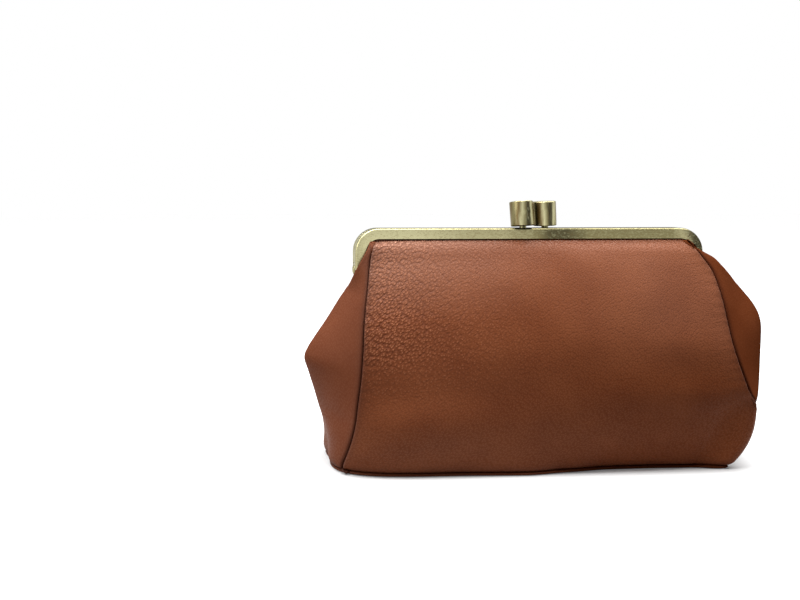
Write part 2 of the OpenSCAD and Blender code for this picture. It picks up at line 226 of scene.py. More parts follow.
def plainPanelPoint(j, u):
    # A point of the front before its corner swells and its leather ripples
    t = rowShares[j]
    left, right, mid = seamLeft[j], seamRight[j], middle[j]
    low, high, held = panel["crown"]
    power = mix(low, high, smoothStep(t * panel["crownEases"]))
    power = mix(power, held, eased(t, *panel["crownTop"]))
    weight = 1 - abs(2 * u - 1) ** power
    point = left.lerp(right, u) + (mid - (left + right) / 2) * weight
    point.x = mix(left.x, right.x, u)
    hang = max(1 - (point.z - hemZ) / panel["waveReach"], 0)
    point.y -= hemWaveAt(point.x) * hang * hang * weight
    return point


def panelPoint(j, u):
    # A point of the front's outer surface: row j, and u from 0 at the left seam to 1 at the right
    t = rowShares[j]
    right = seamRight[j]
    width = right.x - seamLeft[j].x
    point = plainPanelPoint(j, u)
    swell = eased(right.z, *panel["cornerTop"])
    share = (1 - u) * width / panel["cornerReach"]
    if swell > 0 and share < 1:
        inner = plainPanelPoint(j, 1 - panel["cornerReach"] / width)
        foot, grow, height, power = panel["cornerLine"]
        widestX = foot + grow * (1 - max(1 - right.z / height, 0) ** power)
        widest = Vector((widestX, panel["cornerY"], (right.z + inner.z) / 2))
        pull = widest * 2 - (right + inner) / 2
        curved = right * (1 - share) ** 2 + pull * 2 * share * (1 - share) + inner * share * share
        point = point.lerp(curved, swell)
    away = min(u, 1 - u) * width
    calm = eased(t, 0, panel["calm"][0]) * eased(t, 1, panel["calm"][1])
    rough = noise.noise(point / panel["rippleSize"])
    fold = math.sin(point.z / panel["puckerSize"] * math.tau + panel["puckerSway"] * rough)
    point.y -= rough * panel["ripple"] * calm
    point.y -= fold * panel["pucker"] * calm * (1 - swell) * math.exp(-away / panel["puckerReach"])
    return point


gusset = {
    "columns": 44, "seamColumns": 12, "hemColumns": 9,
    "foldRound": (0.9, 0.05),  # roundness of the fold at the base and at its widest
    "foldPower": (2.2, 1.0),
    "sharpens": 4.2,  # how soon the fold sharpens upward
    "footSwell": 1.7 * mm,
    "footShare": 0.12,
    "belly": 0.8 * mm,
    "bellyUp": (0, 0.15),  # shares of the height between which the belly grows, and then ends
    "bellyDown": (0.8, 0.5),
    "leastWidth": 2.4 * mm,
    "lapUp": (94 * mm, 103 * mm),  # heights between which its edge comes to lap the leg
    "lapLean": 3 * mm,
    "tuck": 2.4 * mm,  # how much further in the rear half laps its leg
    "tuckUp": (97 * mm, 102 * mm),
    "tuckDown": (122 * mm, 118 * mm),
}


def gussetPoint(seam, ridge, j, s):
    # A point of the gusset's outer surface: row j, and s from 0 at the ridge to 1 at the seam
    t = rowShares[j]
    start, end = seam[j], ridge[j]
    sharp = smoothStep(t * gusset["sharpens"])
    roundness = mix(*gusset["foldRound"], sharp)
    across = (math.sqrt(s * s + roundness ** 2) - roundness) / (math.sqrt(1 + roundness ** 2) - roundness)
    point = end.lerp(start, s)
    point.x = mix(end.x, start.x, across ** mix(*gusset["foldPower"], sharp))
    out = Vector((start.y - end.y, end.x - start.x, 0))
    if out.x * end.x < 0:
        out.negate()
    out = out.normalized() if out.length > 0 else Vector((1, 0, 0))
    crown = math.sin(math.pi * s)
    swell = gusset["belly"] * eased(t, *gusset["bellyUp"]) * eased(t, *gusset["bellyDown"])
    swell += gusset["footSwell"] * (1 - smoothStep(t / gusset["footShare"]))
    point += out * swell * crown
    point += out * noise.noise(point / panel["rippleSize"]) * panel["ripple"] * crown
    return point


def rearRidge(ridge):
    # The fold of the rear half, which laps its leg a little further in
    tucked = []
    for p in ridge:
        held = gusset["tuck"] * eased(p.z, *gusset["tuckUp"]) * eased(p.z, *gusset["tuckDown"])
        tucked.append(p - Vector((math.copysign(held, p.x), 0, 0)))
    return tucked


def shareList(inner, seamColumns, width, bothEnds):
    # Shares across a row, crowded where the leather rolls into its seam
    roll = leather["rollRadius"] / width
    near = [roll * (n / seamColumns) ** crowding for n in range(seamColumns)]
    far = 1 - roll if bothEnds else 1
    span = [mix(roll, far, n / inner) for n in range(inner + 1)]
    return near + span + ([1 - n for n in near[::-1]] if bothEnds else [])


# The way into the bag between the front and the gusset, for every row of both seams
valley = {
    "reach": 6 * mm,  # how far from the seam the two sides are followed
    "leastDepth": 0.5 * mm,
    "centre": (0.6, 0.8, 0),  # the way to the bag's middle from the left seam
    "levelFrom": 0.9,  # above this share of the rows it is straight inward
    "centrePull": 0.5,
    "evened": 6,
}
seamInward = {"left": [], "right": []}
for j in range(rowCount):
    u = valley["reach"] / (seamRight[j].x - seamLeft[j].x)
    for side, seam, ridge in sides:
        depth = max((ridge[j] - seam[j]).length, valley["leastDepth"])
        onGusset = gussetPoint(seam, ridge, j, max(1 - valley["reach"] / depth, 0))
        onFront = panelPoint(j, u if side == "left" else 1 - u)
        centre = Vector(valley["centre"])
        if side == "right":
            centre.x = -centre.x
        if j > valley["levelFrom"] * rowCount:
            centre = Vector((0, 1, 0))
        inward = (onFront - seam[j]).normalized() + (onGusset - seam[j]).normalized()
        if inward.dot(centre) < 0:  # a hollow seam, between two full sides
            inward.negate()
        inward.z = 0
        seamInward[side].append((inward + centre * valley["centrePull"]).normalized())
for side in seamInward:
    for n in range(valley["evened"]):
        rough = seamInward[side]
        seamInward[side] = [
            (rough[max(j - 1, 0)] + rough[j] * 2 + rough[min(j + 1, rowCount - 1)]).normalized()
            for j in range(rowCount)]


def rollIn(point, distance, inward):
    # Draws a point that is near its seam into the valley
    r = leather["rollRadius"]
    if distance >= r:
        return point
    return point + inward * (r - math.sqrt(max(r * r - (r - distance) ** 2, 0)))


def allowanceAt(j):
    # The side seams' allowance, which ends just above the base
    grown = smoothStep((rowShares[j] - hemShare) / leather["allowanceGrows"])
    return leather["allowance"] * mix(leather["footAllowance"], 1, grown)


def allowance(edge, inward, kept):
    # The two places of a seam's allowance inside the bag, the farther one first
    return [edge + inward * kept * n / 2 for n in (2, 1)]


def inwardBetween(before, after, at):
    # The level direction into the bag, square to the line from before to after
    inward = Vector((before.y - after.y, after.x - before.x, 0)).normalized()
    if inward.x * at.x + inward.y * at.y > 0:
        inward.negate()
    return inward


def rollHem(grid, near, lastMargin):
    # Rolls the lowest rows into the seam at the base, and adds their allowance inside the bag
    lowest = [point.copy() for point in grid[0]]
    last, span = len(lowest) - 1, leather["hemSpan"]
    inwards = []
    for i in range(last + 1):
        i = min(max(i, leather["hemMargin"]), last - lastMargin)
        inwards.append(inwardBetween(lowest[max(i - span, 0)], lowest[min(i + span, last)], lowest[i]))
    for j, share in enumerate(rowShares):
        distance = share * leather["seamLength"]
        if share < hemShare:
            grid[j] = [rollIn(point, distance, inward) for point, inward in zip(grid[j], inwards)]
        # the rows near the base seam take its painted shade
        near[j] = [max(mark, math.exp(-distance / seamShade)) for mark in near[j]]
    kept = [allowance(point, inward, leather["allowance"]) for point, inward in zip(grid[0], inwards)]
    extra = [[place[n] for place in kept] for n in (0, 1)]
    return extra + grid, [[1.0] * len(lowest)] * 2 + near


def pieceFrom(bm, name):
    mesh = bpy.data.meshes.new(name)
    bm.to_mesh(mesh)
    bm.free()
    piece = bpy.data.objects.new(name, mesh)
    scene.collection.objects.link(piece)
    return piece


def gridPiece(name, grid, seamNear=None, outward=None, closed=False):
    # A mesh whose vertices take the places in grid, with a UV map in metres along it
    rows, cols = len(grid), len(grid[0])
    across = []
    for row in grid:
        lengths = lineLengths(row)
        across.append([d - lengths[cols // 2] for d in lengths])
    along = [lineLengths([row[i] for row in grid]) for i in range(cols)]
    bm = bmesh.new()
    bmesh.ops.create_grid(bm, x_segments=cols - 1, y_segments=rows - 1, size=1)
    near = bm.verts.layers.float.new("seamNear")
    place = {}
    for vert in bm.verts:
        i = round((vert.co.x + 1) / 2 * (cols - 1))
        j = round((vert.co.y + 1) / 2 * (rows - 1))
        place[vert] = (across[j][i], along[i][j])
        vert.co = grid[j][i]
        if seamNear:
            vert[near] = seamNear[j][i]
    layer = bm.loops.layers.uv.new("leatherUv")
    for face in bm.faces:
        for loop in face.loops:
            loop[layer].uv = place[loop.vert]
        face.smooth = True
    if closed:
        bmesh.ops.remove_doubles(bm, verts=bm.verts, dist=clothMerge)
        bmesh.ops.recalc_face_normals(bm, faces=bm.faces)
    if outward:
        bm.normal_update()
        facing = sum(face.normal.dot(outward) * face.calc_area() for face in bm.faces)
        if facing < 0:
            bmesh.ops.reverse_faces(bm, faces=bm.faces)
    return pieceFrom(bm, name)


def thicken(piece, thickness):
    wall = piece.modifiers.new("wall", "SOLIDIFY")
    wall.thickness = thickness
    wall.offset = -1
    graph = bpy.context.evaluated_depsgraph_get()
    made = bpy.data.meshes.new_from_object(piece.evaluated_get(graph))
    piece.modifiers.clear()
    piece.data = made
    return piece


def mirrored(grid):
    # The same grid on the rear half
    return [[Vector((p.x, -p.y, p.z)) for p in row] for row in grid]


def mouthRows(row):
    # Carries a row's leather up into the frame's channel
    made = []
    for n in range(1, leather["channelRows"] + 1):
        rise = leather["channelRise"] * n / leather["channelRows"]
        line = []
        for point in row:
            beyond = max(abs(point.x) - cornerX, 0)
            angle = math.asin(min(beyond / bendRadius, 1))
            line.append(Vector((point.x + math.copysign(math.sin(angle) * rise, point.x),
                                -leather["channelDepth"], mouthAt(point.x) + math.cos(angle) * rise)))
        made.append(line)
    return made


def panelGrid():
    grid, near = [], []
    for j in range(rowCount):
        width = seamRight[j].x - seamLeft[j].x
        leftIn, rightIn = seamInward["left"][j], seamInward["right"][j]
        row, marks = [], []
        for u in shareList(panel["columns"], panel["seamColumns"], width, True):
            point = rollIn(panelPoint(j, u), u * width, leftIn)
            row.append(rollIn(point, (1 - u) * width, rightIn))
            marks.append(math.exp(-min(u, 1 - u) * width / seamShade))
        kept = allowanceAt(j)
        grid.append(allowance(row[0], leftIn, kept) + row + allowance(row[-1], rightIn, kept)[::-1])
        near.append([1.0, 1.0] + marks + [1.0, 1.0])
    grid, near = rollHem(grid, near, leather["hemMargin"])
    for row in mouthRows(grid[-1]):
        grid.append(row)
        near.append(near[-1])
    return grid, near


def lapHem(edge, side, lap, wide):
    # Turns the leather's edge: a narrow flange at the fold, and a full roll where it laps the leg
    sideways = Vector((1 if side == "left" else -1, 0, 0))
    across = (wide - sideways * gusset["lapLean"]).normalized()
    along = Vector((0, 1, 0)).lerp(across, lap).normalized()
    under = sideways.lerp(Vector((0, 1, 0)), lap)
    under = (under - along * under.dot(along)).normalized()
    radius = mix(leather["flangeRadius"], leather["lapRadius"], lap)
    turn = mix(math.pi / 2, math.pi, lap)
    arc = gusset["hemColumns"] - 2
    made = []
    for n in range(1, arc + 1):
        angle = turn * n / arc
        made.append(edge + along * radius * math.sin(angle) + under * radius * (1 - math.cos(angle)))
    back = along * math.cos(turn) + under * math.sin(turn)
    return made + [made[-1] + back * leather["flange"] * n for n in (1, 2)]


def gussetGrid(seam, ridge, side):
    grid, near = [], []
    for j in range(rowCount):
        start, end = seam[j], ridge[j]
        width = max((end - start).length, gusset["leastWidth"])
        inward = seamInward[side][j]
        row, marks = [], []
        for w in shareList(gusset["columns"], gusset["seamColumns"], width, False):
            row.append(rollIn(gussetPoint(seam, ridge, j, 1 - w), w * width, inward))
            marks.append(math.exp(-w * width / seamShade))
        row += lapHem(row[-1], side, eased(end.z, *gusset["lapUp"]), end - start)
        grid.append(allowance(row[0], inward, allowanceAt(j)) + row)
        near.append([1.0, 1.0] + marks + [0.0] * gusset["hemColumns"])
    return rollHem(grid, near, gusset["hemColumns"] + 1)


base = {
    "roll": 1.5 * mm,
    "bulge": 0.5 * mm,  # how far the base's edge stands out past its seam
    "arcSteps": 14, "frontSteps": 60, "gussetSteps": 20, "outlineSteps": 180,
    "rounded": 3,  # how many times the outline's corners are rounded
    "floorShares": (0.98, 0.9, 0.75, 0.5, 0.25, 0.0),
    "dark": 0.5,  # the share of a seam's painted shade that lies on the whole base
    "board": 1.5 * mm, "boardGap": 0.15 * mm, "boardInset": 4.2 * mm,
    "lining": 0.6 * mm, "liningGap": 0.1 * mm, "liningInset": 4.8 * mm,
}


def baseOutline():
    # The closed line of the seam between the body and the base
    across, deep, steps = base["frontSteps"], base["gussetSteps"], base["outlineSteps"]
    front = [panelPoint(0, (1 - math.cos(math.pi * n / across)) / 2) for n in range(across + 1)]
    right = [gussetPoint(seamRight, ridgeRight, 0, 1 - n / deep) for n in range(1, deep + 1)]
    left = [gussetPoint(seamLeft, ridgeLeft, 0, n / deep) for n in range(deep)]
    half = left + front + right
    rear = mirrored([half[1:-1]])[0][::-1]
    ring = curveThrough(half + rear + [half[0]], [n / steps for n in range(steps)])
    for n in range(base["rounded"]):
        ring = [(ring[i - 1] + ring[i] * 2 + ring[(i + 1) % steps]) / 4 for i in range(steps)]
    return ring + [ring[0]]


def outlineInward(outline):
    count = len(outline) - 1
    inwards = [inwardBetween(outline[(i - 1) % count], outline[(i + 1) % count], outline[i])
               for i in range(count)]
    return inwards + [inwards[0]]


def ringAt(outline, inwards, inset, z):
    return [Vector((p.x + w.x * inset, p.y + w.y * inset, z)) for p, w in zip(outline, inwards)]


def shrunk(ring, share):
    return [Vector((p.x * share, p.y * share, p.z)) for p in ring]


def baseGrid(outline, inwards):
    # From the seam's allowance inside, round the base's edge, to the middle of its underside
    roll = base["roll"]
    rings = [ringAt(outline, inwards, roll + leather["allowance"] * n / 2, hemZ) for n in (2, 1)]
    for n in range(base["arcSteps"] + 1):
        angle = math.pi / 2 * n / base["arcSteps"]
        drawnIn = roll - math.sqrt(roll ** 2 - max(roll - hemZ * angle, 0) ** 2)
        inset = hemZ * (1 - math.cos(angle)) - base["bulge"] * math.sin(angle * 2) + drawnIn
        rings.append(ringAt(outline, inwards, inset, hemZ * (1 - math.sin(angle))))
    return rings + [shrunk(rings[-1], share) for share in base["floorShares"]]


def plateGrid(outline, inwards, inset, z, thickness):
    under, over = (ringAt(outline, inwards, inset, height) for height in (z, z + thickness))
    return [shrunk(under, 0), shrunk(under, 0.5), under, over, shrunk(over, 0.5), shrunk(over, 0)]


def offsetGrid(grid, distance, outward):
    # The same surface, moved square to itself into the bag
    rows, cols, normals = len(grid), len(grid[0]), []
    for j in range(rows):
        for i in range(cols):
            along = grid[j][min(i + 1, cols - 1)] - grid[j][max(i - 1, 0)]
            up = grid[min(j + 1, rows - 1)][i] - grid[max(j - 1, 0)][i]
            normals.append(along.cross(up).normalized())
    turned = math.copysign(distance, sum(normal.dot(outward) for normal in normals))
    return [[grid[j][i] - normals[j * cols + i] * turned for i in range(cols)] for j in range(rows)]


lining = {
    "thickness": 0.6 * mm,
    "gap": 0.4 * mm,
    "columns": 40,
    "firstRow": 11, "everyRow": 2,
    "hold": 0.03,  # how far it stays back from the front's seams
    "gussetColumns": 20,
    "gussetHold": 0.94,  # how near it comes to the gusset's seam
    "gussetTop": 93 * mm,
}
liningRows = [*range(lining["firstRow"], rowCount, lining["everyRow"]), rowCount - 1]


def liningPanelGrid():
    held = leather["thickness"] + lining["gap"]
    hold, columns = lining["hold"], lining["columns"]
    grid = [[panelPoint(j, mix(hold, 1 - hold, n / columns)) for n in range(columns + 1)]
            for j in liningRows]
    tops = [[Vector((p.x, p.y + held, p.z)) for p in row] for row in mouthRows(grid[-1])]
    return offsetGrid(grid, held, Vector((0, -1, 0))) + tops


def liningGussetGrid(seam, ridge):
    hold, columns = lining["gussetHold"], lining["gussetColumns"]
    grid = [[gussetPoint(seam, ridge, j, mix(hold, 0.0, n / columns)) for n in range(columns + 1)]
            for j in liningRows if ridge[j].z < lining["gussetTop"]]
    outward = Vector((math.copysign(1, ridge[0].x), -1, 0))
    return offsetGrid(grid, leather["thickness"] + lining["gap"], outward)


# The strip that closes the top of each gusset: its middle line and half widths, in millimetres
pleat = {
    "steps": 26, "columns": 16,
    "left": [
        (-101.5, 0, 90), (-99.5, 0, 93.5), (-97, 0, 96.6), (-94.4, 0, 99), (-92.2, 0, 100.4),
        (-90, 0, 101)],
    "right": [
        (118, 0, 86), (110, 0, 90.5), (101, 0, 95.4), (95.5, 0, 98.4), (92.4, 0, 100.2), (90, 0, 101)],
    "halfWidths": [3.5, 8, 11.5, 9.5, 8, 7],
    "droop": 2.4 * mm,
    "droopEnds": 1.6,
}


def pleatGrid(side):
    widths = pleat["halfWidths"]
    shares = [n / pleat["steps"] for n in range(pleat["steps"] + 1)]
    grid = []
    for share, place in zip(shares, curveThrough(points(pleat[side]), shares)):
        at = share * (len(widths) - 1)
        k = min(int(at), len(widths) - 2)
        half = mix(widths[k], widths[k + 1], smoothStep(at - k)) * mm
        droop = pleat["droop"] * smoothStep(1 - share * pleat["droopEnds"])
        row = []
        for i in range(pleat["columns"] + 1):
            across = 2 * i / pleat["columns"] - 1
            row.append(Vector((place.x, across * half, place.z - droop * across * across)))
        grid.append(row)
    return grid


print("surfaces laid out")


def newMaterial(name):
    material = bpy.data.materials.new(name)
    material.use_nodes = True
    tree = material.node_tree
    tree.nodes.clear()
    shader = addNode(tree, "BsdfPrincipled")
    addNode(tree, "OutputMaterial", {"Surface": shader.outputs["BSDF"]})
    return material, tree, shader


def newGroup(name, inputs, outputs):
    group = bpy.data.node_groups.new(name, "ShaderNodeTree")
    for socketName, kind in inputs:
        group.interface.new_socket(name=socketName, in_out="INPUT", socket_type=kind)
    for socketName in outputs:
        group.interface.new_socket(name=socketName, in_out="OUTPUT", socket_type="NodeSocketFloat")
    return group, group.nodes.new("NodeGroupInput").outputs, group.nodes.new("NodeGroupOutput").inputs


def setInputs(tree, sockets, values):
    for key, value in values.items():
        if isinstance(value, bpy.types.NodeSocket):
            tree.links.new(value, sockets[key])
        else:
            sockets[key].default_value = value


def addNode(tree, kind, inputs=None, **settings):
    node = tree.nodes.new("ShaderNode" + kind)
    for key, value in settings.items():
        setattr(node, key, value)
    setInputs(tree, node.inputs, inputs or {})
    return node


def mathNode(tree, operation, a, b=0.0, clamp=False):
    return addNode(tree, "Math", {0: a, 1: b}, operation=operation, use_clamp=clamp).outputs[0]


def product(tree, a, b):
    return mathNode(tree, "MULTIPLY", a, b)


def vectorMath(tree, operation, a, b):
    return addNode(tree, "VectorMath", {0: a, 1: b}, operation=operation).outputs[0]


def axisOf(tree, vector, axis):
    return addNode(tree, "SeparateXYZ", {0: vector}).outputs[axis]


def mixColor(tree, share, a, b):
    return addNode(tree, "Mix", {0: share, 6: a, 7: b}, data_type="RGBA").outputs[2]


def mixFloat(tree, share, a, b):
    return addNode(tree, "Mix", {0: share, 2: a, 3: b}).outputs[0]


def rangeNode(tree, value, low, high, toLow=0.0, toHigh=1.0):
    return addNode(tree, "MapRange", {0: value, 1: low, 2: high, 3: toLow, 4: toHigh}).outputs[0]


def noiseNode(tree, vector, scale, detail, distortion=0.0):
    return addNode(tree, "TexNoise", {
        "Vector": vector, "Scale": scale, "Detail": detail, "Distortion": distortion}).outputs


def surface(tree, shader, tone, rough, height, strength, relief):
    # Joins a material's tone, roughness and bump to its shader
    bump = addNode(tree, "Bump", {"Height": height, "Strength": strength, "Distance": relief})
    setInputs(tree, shader.inputs, {"Base Color": tone, "Roughness": rough, "Normal": bump.outputs[0]})


# A noise has its scale and detail as a pair, here and below
pebbles = {
    "lean": math.radians(-42),  # the pebbles lie in leaning rows
    "stretch": (0.55, 1.0, 1.0),
    "warp": (380.0, 2.0),
    "irregular": 0.32,
    "randomness": (0.8, 1.0),  # of the cells, and of the finer ones on them
    "finer": 2.1, "finerHeight": 0.3,
    "furrows": 0.45, "furrowHeight": 0.35,
    "crease": (0.15, 0.65),  # from a cell's middle, where its crease begins and is full
    "patches": (34.0, 3.0),
}


def grainGroup():
    group, source, sink = newGroup(
        "pebbleGrain", [("Vector", "NodeSocketVector"), ("Cell Size", "NodeSocketFloat")],
        ["Height", "Crease", "Patch"])
    lean = addNode(group, "Mapping", {"Vector": source["Vector"], "Rotation": (0, 0, pebbles["lean"])})
    laid = vectorMath(group, "MULTIPLY", lean.outputs[0], pebbles["stretch"])
    scale = mathNode(group, "DIVIDE", 1.0, source["Cell Size"])
    warp = noiseNode(group, laid, *pebbles["warp"])["Color"]
    shift = vectorMath(group, "SUBTRACT", warp, (0.5, 0.5, 0.5))
    push = product(group, source["Cell Size"], pebbles["irregular"])
    moved = addNode(group, "VectorMath", {0: shift, "Scale": push}, operation="SCALE").outputs[0]
    place = vectorMath(group, "ADD", laid, moved)
    sizes = (scale, product(group, scale, pebbles["finer"]))
    cells, finer = (
        addNode(group, "TexVoronoi", {"Vector": place, "Scale": size, "Randomness": randomness},
                feature="F1", voronoi_dimensions="2D").outputs["Distance"]
        for size, randomness in zip(sizes, pebbles["randomness"]))
    dome = mathNode(group, "SUBTRACT", 1.0, mathNode(group, "POWER", cells, 2.0))
    small = mathNode(group, "SUBTRACT", 1.0, finer)
    furrow = noiseNode(group, laid, product(group, scale, pebbles["furrows"]), 1.0)["Fac"]
    height = mathNode(group, "ADD", dome, product(group, small, pebbles["finerHeight"]))
    height = mathNode(group, "ADD", height, product(group, furrow, pebbles["furrowHeight"]))
    setInputs(group, sink, {
        "Height": height,
        "Crease": rangeNode(group, cells, *pebbles["crease"]),
        "Patch": noiseNode(group, source["Vector"], *pebbles["patches"])["Fac"]})
    return group


# cells, bump, the painted crease shade and the painted highlight on the pebbles' tops: for the coarse grain
# at the upper left, and for the fine
panelLeather = {
    "base": (0.184, 0.045, 0.0120, 1),
    "light": (0.242, 0.067, 0.021, 1),
    "patch": (0.35, 0.7),
    # top, tops and the next line: a painted highlight, the pebbles' tops made lighter
    "top": (0.46, 0.17, 0.085, 1),
    "tops": (0.3, 0.0),
    "paintedGlint": (0.85, 0.18),  # a painted highlight on the pebbles' tops: how much lighter they are
    # crease and the next line: painted shade, the creases between pebbles made darker
    "crease": (0.13, 0.029, 0.009, 1),
    "paintedCreaseShade": (0.56, 0.25),
    # seam and the next line: painted shade in the seams' valleys
    "seam": (0.045, 0.012, 0.007, 1),
    "paintedSeamShade": 0.9,
    "cells": (1.35 * mm, 0.9 * mm),
    "coarseAcross": (10 * mm, -85 * mm),  # the grain coarsens between these places along the bag
    "coarseUp": (36 * mm, 72 * mm),
    "bump": (1.0, 0.36),
    "relief": 0.3 * mm,
    "sheenTone": (0.56, 0.29, 0.20, 1),
    "sheen": (  # a painted sheen: where it grows along and up the leather, and its share
        ((10 * mm, -85 * mm), (88 * mm, 118 * mm), 0.22),
        ((-5 * mm, 60 * mm), (58 * mm, 92 * mm), 0.10),
    ),
    "roughness": (0.34, 0.62),  # on a pebble and in a crease
    "specular": (0.34, 0.16),  # at the left and at the right
    "glossAcross": (-60 * mm, 80 * mm),
    "glossTint": (1.0, 0.78, 0.66, 1),
    "wrinkle": (90.0, 260.0, 1.0),  # fine folds drawn from the left seam
    "wrinkleNoise": (1.0, 1.0, 0.4),  # and its distortion
    "wrinkleAcross": (-62 * mm, -98 * mm),
    "wrinkleUp": (30 * mm, 60 * mm),
    "wrinkleHeight": 1.3,
}
gussetLeather = {**panelLeather, "base": (0.150, 0.037, 0.0120, 1), "light": (0.19, 0.051, 0.018, 1),
                 "cells": (1.4 * mm, 1.0 * mm), "bump": (0.22, 0.16), "relief": 0.12 * mm,
                 "paintedCreaseShade": (0.2, 0.15), "paintedGlint": (0.1, 0.1), "sheen": (),
                 "roughness": (0.5, 0.66), "specular": (0.24, 0.0)}


def leatherMaterial(name, finish):
    material, tree, shader = newMaterial(name)
    uv = addNode(tree, "UVMap", uv_map="leatherUv").outputs["UV"]
    along, up = axisOf(tree, uv, "X"), axisOf(tree, uv, "Y")

    def area(alongRange, upRange):
        return product(tree, rangeNode(tree, along, *alongRange), rangeNode(tree, up, *upRange))

    coarse = area(finish["coarseAcross"], finish["coarseUp"])
    paintedCreaseShade, paintedGlint, strength = (
        mixFloat(tree, coarse, finish[key][1], finish[key][0])
        for key in ("paintedCreaseShade", "paintedGlint", "bump"))
    big, fine = (
        addNode(tree, "Group", {"Vector": uv, "Cell Size": cell}, node_tree=grain).outputs
        for cell in finish["cells"])
    height = mixFloat(tree, coarse, fine["Height"], big["Height"])
    crease = mixFloat(tree, coarse, fine["Crease"], big["Crease"])
    tone = mixColor(tree, rangeNode(tree, fine["Patch"], *finish["patch"]), finish["base"], finish["light"])
    # painted shade: the creases between pebbles mixed towards a darker tone
    tone = mixColor(tree, product(tree, crease, paintedCreaseShade), tone, finish["crease"])
    # a painted highlight: the pebbles' tops mixed towards a lighter tone
    tops = rangeNode(tree, crease, *finish["tops"])
    tone = mixColor(tree, product(tree, tops, paintedGlint), tone, finish["top"])
    # a painted sheen: the upper leather mixed towards a pale tone
    for alongRange, upRange, share in finish["sheen"]:
        tone = mixColor(tree, product(tree, area(alongRange, upRange), share), tone, finish["sheenTone"])
    # painted shade along the seams and the hem, read from the seamNear attribute
    near = addNode(tree, "Attribute", attribute_name="seamNear").outputs["Fac"]
    tone = mixColor(tree, product(tree, near, finish["paintedSeamShade"]), tone, finish["seam"])
    drawn = vectorMath(tree, "MULTIPLY", uv, finish["wrinkle"])
    wrinkle = noiseNode(tree, drawn, *finish["wrinkleNoise"])["Fac"]
    pulled = product(tree, area(finish["wrinkleAcross"], finish["wrinkleUp"]), finish["wrinkleHeight"])
    height = mathNode(tree, "ADD", height, product(tree, wrinkle, pulled))
    rough = rangeNode(tree, crease, 0.0, 1.0, *finish["roughness"])
    surface(tree, shader, tone, rough, height, strength, finish["relief"])
    place = addNode(tree, "TexCoord").outputs["Object"]
    gloss = rangeNode(tree, axisOf(tree, place, "X"), *finish["glossAcross"], *finish["specular"])
    setInputs(tree, shader.inputs, {"Specular IOR Level": gloss, "Specular Tint": finish["glossTint"]})
    return material


def ramp(tree, value, stops):
    node = addNode(tree, "ValToRGB", {0: value})
    band = node.color_ramp
    while len(band.elements) < len(stops):
        band.elements.new(0.5)
    for element, (place, color) in zip(band.elements, stops):
        element.position = place
        element.color = (*color, 1)
    return node.outputs["Color"]


brassTones = {
    "cream": (0.70, 0.66, 0.38),
    "pale": (0.48, 0.44, 0.24),
    "olive": (0.28, 0.25, 0.12),
    "brown": (0.20, 0.14, 0.06),
    "deep": (0.10, 0.09, 0.045),
    "dark": (0.05, 0.046, 0.025),
}
brass = {
    # painted reflections along the frame, from its left end to its right
    "frame": [
        (0.0, "pale"), (0.04, "cream"), (0.16, "cream"), (0.34, "pale"), (0.44, "pale"), (0.51, "olive"),
        (0.55, "deep"), (0.60, "deep"), (0.66, "olive"), (0.91, "olive"), (0.945, "pale"),
        (0.97, "dark"), (1.0, "dark")],
    # painted reflection bands round a knob, from its back by way of its left side
    "knob": [
        (0.0, "olive"), (0.20, "olive"), (0.27, "brown"), (0.32, "olive"), (0.41, "brown"),
        (0.45, "cream"), (0.49, "olive"), (0.52, "dark"), (0.56, "dark"), (0.59, "cream"),
        (0.63, "pale"), (0.67, "brown"), (0.73, "brown"), (0.78, "dark"), (0.88, "olive"),
        (1.0, "olive")],
    "frameBrushing": (900, 900, 1900),
    "knobBrushing": (2400, 2400, 90),
    "lines": (1.0, 3.0),
    "clouds": (60.0, 4.0),
    # ranges of a value, and of what it is turned into
    "cloudShift": (0.3, 0.7, -0.02, 0.02),
    "scratch": (0.5, 0.72, 0.0, 0.45),
    # glint: a painted highlight along the brushed lines
    "glint": (0.48, 0.3, 0.0, 0.35),
    # upward: faces looking up, painted darker on the frame as shade and paler on the knobs as a painted
    # reflection
    "upward": (0.25, 0.9, 0.0, 0.85),
    # downward: painted shade on faces looking down, under the knobs and the frame
    "downward": (-0.4, -0.9),
    "roughness": (0.3, 0.7, 0.24, 0.44),
    "bump": 0.15, "relief": 0.03 * mm,
}


def brushedGroup():
    # Fine crossed scratches of brushed brass, as a value around a half
    group, source, sink = newGroup(
        "brushed", [("Vector", "NodeSocketVector"), ("Along", "NodeSocketVector")], ["Lines", "Cloud"])
    drawn = vectorMath(group, "MULTIPLY", source["Vector"], source["Along"])
    setInputs(group, sink, {
        "Lines": noiseNode(group, drawn, *brass["lines"])["Fac"],
        "Cloud": noiseNode(group, source["Vector"], *brass["clouds"])["Fac"]})
    return group


